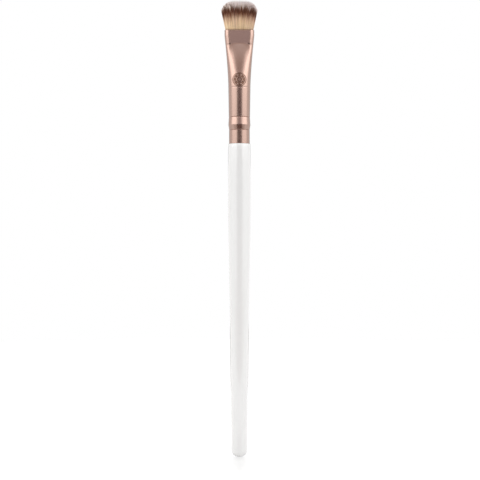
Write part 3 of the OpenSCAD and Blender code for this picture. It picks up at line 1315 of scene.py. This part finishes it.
    def stand(
        self, shape: np.ndarray, roots: np.ndarray, clumps: Clumps, rng: np.random.Generator
    ) -> tuple[np.ndarray, np.ndarray]:
        """Stand a filament on every root, each of its own length, lean, twist and thickness.

        Args:
            shape: Points of the pattern, which is one long and two across.
            roots: X and Y of the roots.
            clumps: Clumps that the filaments gather in.
            rng: Source of the disorder.

        Returns:
            Places of the points in millimetres and their heights above the roots, by filament.
        """
        n = len(roots)
        share = shape[:, 2]
        clump = clumps.nearest(roots)
        shorter = abs(rng.normal(0, self.filament_length, n))
        length = self.dome(roots) + clumps.lift[clump] - shorter
        height = length[:, None] * share
        drawn = (self.pull * share**2)[None, :, None]
        own, shared = self.fan(roots, height), self.fan(clumps.centres[clump], height)
        lean = np.clip(rng.normal(0, 1, (n, 1, 2)), -self.most_spread, self.most_spread)
        middle = own * (1 - drawn) + shared * drawn + lean * self.splay * (share**2)[:, None]
        twist = rng.uniform(0, 2 * math.pi, n)[:, None]
        radius = self.filament_d / 2 * rng.uniform(self.thinnest, self.thickest, n)[:, None]
        x = radius * (shape[:, 0] * np.cos(twist) - shape[:, 1] * np.sin(twist))
        y = radius * (shape[:, 0] * np.sin(twist) + shape[:, 1] * np.cos(twist))
        z = self.sizes.mouth_z - self.root_recess + height
        return np.stack([middle[..., 0] + x, middle[..., 1] + y, z], axis=-1), height

    def grow(
        self,
        pattern: bpy.types.Object,
        roots: np.ndarray,
        clumps: Clumps,
        rng: np.random.Generator,
        name: str,
    ) -> None:
        """Copy the pattern to every root and dress the copies as one piece.

        Args:
            pattern: One filament, as filament() makes it.
            roots: X and Y of the roots that this piece holds.
            clumps: Clumps that the filaments gather in.
            rng: Source of the disorder.
            name: Name of the piece.
        """
        n = len(roots)
        shape = np.array([vertex.co for vertex in pattern.data.vertices]) / MM
        places, height = self.stand(shape, roots, clumps, rng)
        faces = sorted(self.from_lowest(polygon.vertices) for polygon in pattern.data.polygons)
        copies = [tuple(k * len(shape) + v for v in face) for k in range(n) for face in faces]
        mesh = bpy.data.meshes.new(name)
        mesh.from_pydata((places * MM).reshape(-1, 3).tolist(), [], copies)
        mesh.polygons.foreach_set("use_smooth", [True] * len(mesh.polygons))
        aside = roots[:, 0] / self.half_w
        clump = clumps.nearest(roots)
        drift = clumps.drift[clump] + rng.normal(0, self.filament_dye, n)
        from_top = self.full_length - self.dye_drop(roots)
        dye = (from_top - self.dye_lean * aside + drift)[:, None] - height
        tone = self.middle_tone + clumps.tone[clump] + rng.normal(0, self.filament_tone, n)
        # The tone leans across the tuft, so that its left side is lighter and yellower as painted
        # light.
        self.lay_map(mesh, tone + self.painted_light_lean * aside, dye)
        piece = bpy.data.objects.new(name, mesh)
        bpy.context.scene.collection.objects.link(piece)
        hand_over(piece, DyedFilament(), "two_tone_filament", "bristle_tuft")

    @staticmethod
    def from_lowest(corners: Sequence[int]) -> tuple[int, ...]:
        """Start a face at its lowest corner, because edit mode may start it at any."""
        start = list(corners).index(min(corners))
        return (*corners[start:], *corners[:start])

    def lay_map(self, mesh: bpy.types.Mesh, tone: np.ndarray, dye: np.ndarray) -> None:
        """Give the piece its map: tone across, and distance from the bundle's top up the map.

        Args:
            mesh: Mesh of the filaments, in the order of their roots.
            tone: Tone of each filament, from 0 to 1.
            dye: Distance of each filament's points in millimetres.
        """
        n, count = dye.shape
        strip = np.floor(np.clip(tone, 0, 1 - self.map_margin) * self.tones)[:, None]
        even = np.arange(count) % 2 == 0
        side = np.where(even, self.strip_margin, 1 - self.strip_margin)[None, :]
        across = np.broadcast_to((strip + side) / self.tones, (n, count))
        up = np.clip(dye / DyedFilament.reach_mm, self.map_margin, 1 - self.map_margin)
        corners = np.empty(len(mesh.loops), np.int32)
        mesh.loops.foreach_get("vertex_index", corners)
        places = np.stack([across, up], axis=-1).reshape(-1, 2)[corners]
        layer = mesh.uv_layers.new(name=FILAMENT_MAP)
        layer.data.foreach_set("uv", places.astype(np.float32).ravel())

    def packed_roots(self) -> None:
        """Model the top of the potted roots, which shows between the filaments in the mouth."""
        top_z = self.sizes.mouth_z - self.root_recess
        half_t = self.half_t
        plug = start_ring(self.plug_columns, (half_t, self.sizes.roots_z), filled=True)
        for side in (1, -1):
            pick(plug, Element.VERT, lambda vertex: vertex.co.x * side > NEAR)
            bpy.ops.transform.translate(value=(side * (self.half_w - half_t) * MM, 0, 0))
        pick(plug, Element.FACE, lambda face: True)
        extrude((0, 0, top_z - self.sizes.roots_z))
        for rise in self.plug_crown:
            bpy.ops.mesh.inset(thickness=half_t / self.plug_steps * MM)
            bpy.ops.transform.translate(value=(0, 0, rise * MM))
        face_outwards()
        settle(plug, "packed_roots")
        smooth(plug, self.plug_sharp_angle)
        hand_over(plug, self.roots_finish, "two_tone_filament", "bristle_tuft")

    def build(self) -> None:
        """Pack the roots and grow the filaments from them, piece by piece."""
        self.packed_roots()
        rng = np.random.default_rng(self.seed)
        roots = self.roots(rng)
        rng.shuffle(roots)
        clumps = self.scatter_clumps(roots, rng)
        pattern = self.filament()
        for k, share in enumerate(np.array_split(roots, self.pieces), start=1):
            self.grow(pattern, share, clumps, rng, f"filaments_{k}")
        bpy.data.objects.remove(pattern)


@dataclass(frozen=True)
class HiddenFillings:
    """Glue, resin and thread inside the ferrule, which keep their solids."""

    # Two-part epoxy, cured in the tube: creamy and cloudy, with a dull shine.
    glue: SpeckledFilling = SpeckledFilling(
        "cured_epoxy_glue",
        colour="#D8CDA0",
        speckle="#C2B27C",
        cell_mm=(0.8, 0.8, 0.8),
        roughness=0.35,
    )
    # Potting resin, cast round the roots: amber and glossy, streaked by the roots in it.
    resin: SpeckledFilling = SpeckledFilling(
        "amber_potting_resin",
        colour="#C49A5E",
        speckle="#9C7440",
        cell_mm=(0.5, 0.5, 2.0),
        roughness=0.22,
    )
    # Cotton thread, twisted and wound tight: off-white and matt, dented by its twist.
    thread: SpeckledFilling = SpeckledFilling(
        "twisted_cotton_thread",
        colour="#EFEAD9",
        speckle="#CFC6AB",
        cell_mm=(0.12, 0.12, 0.1),
        roughness=0.85,
        depth_mm=0.03,
    )

    def build(self, nodes: dict[str, bpy.types.Object]) -> None:
        """Dress the three hidden CAD nodes.

        Args:
            nodes: The CAD nodes by name.
        """
        finishes = {"handle_glue": self.glue, "resin_plug": self.resin, "tie_thread": self.thread}
        for name, finish in finishes.items():
            nodes[name].data.materials.clear()
            nodes[name].data.materials.append(finish.material())
            log.info("%s: kept, %s", name, finish.name)


@dataclass(frozen=True)
class Softbox:
    """Wide studio lamp whose light fades to its sides and its foot.

    Its azimuth counts from the camera to the right.
    """

    azimuth: float
    distance: float = 900.0
    width: float = 1679.0
    upper_z: float = 760.0
    radiance: float = 1.9
    full_share: float = 0.3
    foot_share: float = 0.1
    foot_z: float = 192.0
    full_z: float = 270.0

    def spread_light(self, tree: bpy.types.NodeTree) -> None:
        """Let the light fade by the lamp's own nodes, which read the place on the lamp.

        Args:
            tree: Empty node tree of the lamp.
        """
        turn = math.radians(self.azimuth)
        where = add_node(tree, "ShaderNodeNewGeometry").outputs["Position"]
        feeds = {0: where, 1: (math.cos(turn), math.sin(turn), 0.0)}
        aside = add_node(tree, "ShaderNodeVectorMath", feeds, operation="DOT_PRODUCT")
        away = add_node(tree, "ShaderNodeMath", {0: aside.outputs["Value"]}, operation="ABSOLUTE")
        half = self.width / 2 * MM
        feeds = {"Value": away, "From Min": self.full_share * half, "From Max": half}
        feeds |= {"To Min": self.radiance, "To Max": 0.0}
        across = add_node(tree, "ShaderNodeMapRange", feeds, interpolation_type="SMOOTHSTEP")
        level = add_node(tree, "ShaderNodeSeparateXYZ", {"Vector": where}).outputs["Z"]
        feeds = {"Value": level, "From Min": self.foot_z * MM, "From Max": self.full_z * MM}
        feeds |= {"To Min": self.foot_share, "To Max": 1.0}
        rise = add_node(tree, "ShaderNodeMapRange", feeds)
        strength = add_node(tree, "ShaderNodeMath", {0: across, 1: rise}, operation="MULTIPLY")
        glow = add_node(tree, "ShaderNodeEmission", {"Strength": strength})
        add_node(tree, "ShaderNodeOutputLight", {"Surface": glow})

    def build(self) -> None:
        """Put the lamp up. Its energy makes its radiance the strength that its nodes give."""
        start_clean()
        turn = math.radians(self.azimuth)
        x, y = self.distance * math.sin(turn), -self.distance * math.cos(turn)
        place = (x * MM, y * MM, self.upper_z / 2 * MM)
        bpy.ops.object.light_add(type="AREA", location=place, rotation=(math.pi / 2, 0, turn))
        lamp = bpy.context.object.data
        lamp.shape = "RECTANGLE"
        lamp.size, lamp.size_y = self.width * MM, self.upper_z * MM
        lamp.energy = math.pi * lamp.size * lamp.size_y
        self.spread_light(start_nodes(lamp))


@dataclass(frozen=True)
class ToneCard:
    """Upright card that only reflections see, which gives the metal its dark and bright lines.

    Its bands are, from its foot up, a height, its width there and its tone there. Its apron lies
    on the floor in front of it.
    """

    name: str
    y: float
    bands: tuple[tuple[float, float, str], ...]
    x: float = 0.0
    apron: float = 0.0

    @staticmethod
    def pick_edge(card: bpy.types.Object, z: float) -> None:
        """Select the card's level edge at a height."""
        pick(card, Element.EDGE, lambda edge: all(abs(v.co.z - z * MM) < NEAR for v in edge.verts))

    def widen(self, share: float, z: float) -> None:
        """Change the width of the selected edge, which is at a height."""
        centre = (self.x * MM, self.y * MM, z * MM)
        bpy.ops.transform.resize(value=(share, 1, 1), center_override=centre)

    def draw(self) -> bpy.types.Object:
        """Draw the card up from band to band and lay its apron on the floor.

        Returns:
            The card.
        """
        start_clean()
        (low_z, low_width, _), (top_z, top_width, _) = self.bands[:2]
        place = (self.x * MM, self.y * MM, (low_z + top_z) / 2 * MM)
        bpy.ops.mesh.primitive_plane_add(size=MM, location=place, rotation=(math.pi / 2, 0, 0))
        card = bpy.context.object
        card.scale = (low_width, top_z - low_z, 1)
        settle(card, self.name)
        bpy.ops.object.mode_set(mode="EDIT")
        self.pick_edge(card, top_z)
        self.widen(top_width / low_width, top_z)
        for (z, width, _), (next_z, next_width, _) in pairwise(self.bands[1:]):
            extrude((0, 0, next_z - z))
            self.widen(next_width / width, next_z)
        if self.apron:
            self.pick_edge(card, low_z)
            step = math.copysign(self.apron, -self.y)
            extrude((0, step, 0))
            share = (self.y + step) / self.y
            bpy.ops.transform.resize(value=(share, 1, 1), center_override=(0, 0, 0))
        settle(card, self.name)
        return card

    def material(self) -> bpy.types.Material:
        """Make the material that glows in the tones of the bands.

        Returns:
            The material.
        """
        material = bpy.data.materials.new(self.name)
        tree = start_nodes(material)
        upper_z = self.bands[-1][0]
        where = add_node(tree, "ShaderNodeNewGeometry").outputs["Position"]
        level = add_node(tree, "ShaderNodeSeparateXYZ", {"Vector": where}).outputs["Z"]
        height = add_node(tree, "ShaderNodeMath", {0: level, 1: upper_z * MM}, operation="DIVIDE")
        stops = tuple((z / upper_z, colour) for z, _, colour in self.bands)
        tone = add_node(tree, "ShaderNodeValToRGB", {"Fac": height}, stops=stops)
        glow = add_node(tree, "ShaderNodeEmission", {"Color": tone})
        add_node(tree, "ShaderNodeOutputMaterial", {"Surface": glow})
        return material

    def build(self) -> None:
        """Put the card up and hide it from all but reflections."""
        card = self.draw()
        card.data.materials.append(self.material())
        card.visible_camera = card.visible_diffuse = card.visible_shadow = False
        card.visible_transmission = card.visible_volume_scatter = False


def seen_directly(tree: bpy.types.NodeTree) -> bpy.types.Node:
    """Give 1 to camera, glossy and transmission rays, and 0 to the rays that light the object.

    Args:
        tree: Node tree that gets the nodes.

    Returns:
        The node whose first output is that number.
    """
    rays = add_node(tree, "ShaderNodeLightPath").outputs
    feeds = {0: rays["Is Glossy Ray"], 1: rays["Is Transmission Ray"]}
    bounced = add_node(tree, "ShaderNodeMath", feeds, operation="MAXIMUM")
    feeds = {0: rays["Is Camera Ray"], 1: bounced}
    return add_node(tree, "ShaderNodeMath", feeds, operation="MAXIMUM")


@dataclass(frozen=True)
class Studio:
    """White room: a pale gloss floor, two softboxes, toned cards and soft light all round."""

    fill: float = 0.9
    fill_lean: tuple[float, float, float] = (0.0, 0.4, 0.15)
    floor_r: float = 600.0
    floor_columns: int = 96
    near_r: float = 15.0
    far_r: float = 80.0
    # The floor glows less near the foot than far out, which evens it against the lamps' light
    # there; from higher views it leaves a faint painted shade round the foot.
    near_glow: float = 0.32
    far_glow: float = 0.58
    # Glow that the floor gives the rays that light the brush: a soft light from below.
    under_glow: float = 0.5
    floor_colour: str = "#B4B4B4"
    floor_roughness: float = 0.1
    floor_gloss: float = 0.5
    softboxes: tuple[Softbox, ...] = (Softbox(57.0), Softbox(-57.0))
    cards: tuple[ToneCard, ...] = (
        ToneCard(
            "front_card",
            x=25.0,
            y=-620.0,
            bands=(
                (2.0, 740.0, "#78584E"),
                (60.0, 700.0, "#4A302A"),
                (110.0, 700.0, "#181412"),
                (178.0, 700.0, "#1A1210"),
                (192.0, 600.0, "#4A1A14"),
                (212.0, 560.0, "#7C5044"),
                (226.0, 380.0, "#DCD2D6"),
                (238.0, 190.0, "#FAF4FF"),
                (290.0, 190.0, "#FAF4FF"),
                (340.0, 620.0, "#BCABA4"),
                (400.0, 1320.0, "#BCABA4"),
                (460.0, 1300.0, "#D2C3BD"),
                (530.0, 830.0, "#ECE3E2"),
                (627.0, 460.0, "#F4F0F2"),
                (720.0, 280.0, "#F4F4F8"),
            ),
            apron=400.0,
        ),
        ToneCard(
            "floor_card",
            y=-640.0,
            bands=((0.5, 2400.0, "#CEC1BA"), (1.5, 2400.0, "#CEC1BA")),
            apron=420.0,
        ),
        ToneCard(
            "back_card",
            y=620.0,
            bands=((150.0, 716.0, "#AAAAAA"), (900.0, 716.0, "#AAAAAA")),
        ),
        ToneCard(
            "back_floor_card",
            y=640.0,
            bands=((0.5, 760.0, "#6A5650"), (1.5, 760.0, "#6A5650")),
            apron=440.0,
        ),
    )

    def world(self) -> None:
        """Show white to the camera and to reflections, and give a fill that is softer in front."""
        world = bpy.data.worlds.new("white_room")
        tree = start_nodes(world)
        towards = add_node(tree, "ShaderNodeTexCoord").outputs["Generated"]
        feeds = {0: towards, 1: self.fill_lean}
        lean = add_node(tree, "ShaderNodeVectorMath", feeds, operation="DOT_PRODUCT")
        feeds = {0: self.fill, 1: lean.outputs["Value"]}
        strength = add_node(tree, "ShaderNodeMath", feeds, operation="ADD")
        feeds = {"Color": WHITE, "Strength": strength}
        fill = add_node(tree, "ShaderNodeBackground", feeds)
        white = add_node(tree, "ShaderNodeBackground", {"Color": WHITE, "Strength": 1.0})
        feeds = {0: seen_directly(tree), 1: fill, 2: white}
        mix = add_node(tree, "ShaderNodeMixShader", feeds)
        add_node(tree, "ShaderNodeOutputWorld", {"Surface": mix})
        bpy.context.scene.world = world

    def floor_material(self) -> bpy.types.Material:
        """Make the floor's paint, which glows white where it is seen and is glossy by the foot.
        It glows less near the foot, which from higher views leaves a faint painted shade round it,
        and it glows softly on the brush as a light from below.

        Returns:
            The material.
        """
        material = bpy.data.materials.new("pale_gloss_floor")
        tree = start_nodes(material)
        where = add_node(tree, "ShaderNodeTexCoord").outputs["Object"]
        away = add_node(tree, "ShaderNodeVectorMath", {0: where}, operation="LENGTH")
        zone = {"Value": away.outputs["Value"]}
        zone |= {"From Min": self.near_r * MM, "From Max": self.far_r * MM}
        feeds = zone | {"To Min": self.floor_gloss, "To Max": 0.0}
        gloss = add_node(tree, "ShaderNodeMapRange", feeds, interpolation_type="SMOOTHSTEP")
        feeds = {"Base Color": linear(self.floor_colour), "Roughness": self.floor_roughness}
        paint = add_node(tree, "ShaderNodeBsdfPrincipled", feeds | {"Specular IOR Level": gloss})
        feeds = zone | {"To Min": self.near_glow, "To Max": self.far_glow}
        share = add_node(tree, "ShaderNodeMapRange", feeds, interpolation_type="SMOOTHSTEP")
        feeds = {"Value": seen_directly(tree), "To Min": self.under_glow, "To Max": share}
        seen = add_node(tree, "ShaderNodeMapRange", feeds)
        glow = add_node(tree, "ShaderNodeEmission", {"Color": WHITE, "Strength": seen})
        both = add_node(tree, "ShaderNodeAddShader", {0: paint, 1: glow})
        add_node(tree, "ShaderNodeOutputMaterial", {"Surface": both})
        return material

    def floor(self) -> None:
        """Lay the floor, which takes the shadow near the brush."""
        start_clean()
        bpy.ops.mesh.primitive_circle_add(
            vertices=self.floor_columns, radius=self.floor_r * MM, fill_type="NGON"
        )
        floor = bpy.context.object
        settle(floor, "floor")
        floor.data.materials.append(self.floor_material())

    def build(self) -> None:
        """Set the studio up."""
        bpy.context.scene.view_settings.view_transform = "Standard"
        self.world()
        self.floor()
        for part in (*self.softboxes, *self.cards):
            part.build()


@dataclass(frozen=True)
class ProductCamera:
    """Long lens, level with the middle of the brush, as the photograph was taken."""

    lens: float = 100.0
    sensor: float = 36.0
    distance: float = 512.0
    height: float = 83.1
    offset: float = 0.23

    def build(self) -> None:
        """Place the camera and make it the scene's own."""
        start_clean()
        place = (self.offset * MM, -self.distance * MM, self.height * MM)
        bpy.ops.object.camera_add(location=place, rotation=(math.pi / 2, 0, 0))
        camera = bpy.context.object
        camera.data.lens, camera.data.sensor_width = self.lens, self.sensor
        bpy.context.scene.camera = camera


def main() -> None:
    """Build the brush round its frame, with its studio and camera."""
    logging.basicConfig(level=logging.INFO, format="%(message)s")
    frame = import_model()
    sizes = FrameSizes.read()
    ferrule = PressedFerrule(sizes)
    LacqueredHandle(sizes).build()
    tube = ferrule.build()
    StampedRoundel(ferrule).build(tube)
    FilamentTuft(sizes, ferrule).build()
    HiddenFillings().build(frame["nodes"])
    Studio().build()
    ProductCamera().build()


if __name__ == "__main__":
    main()
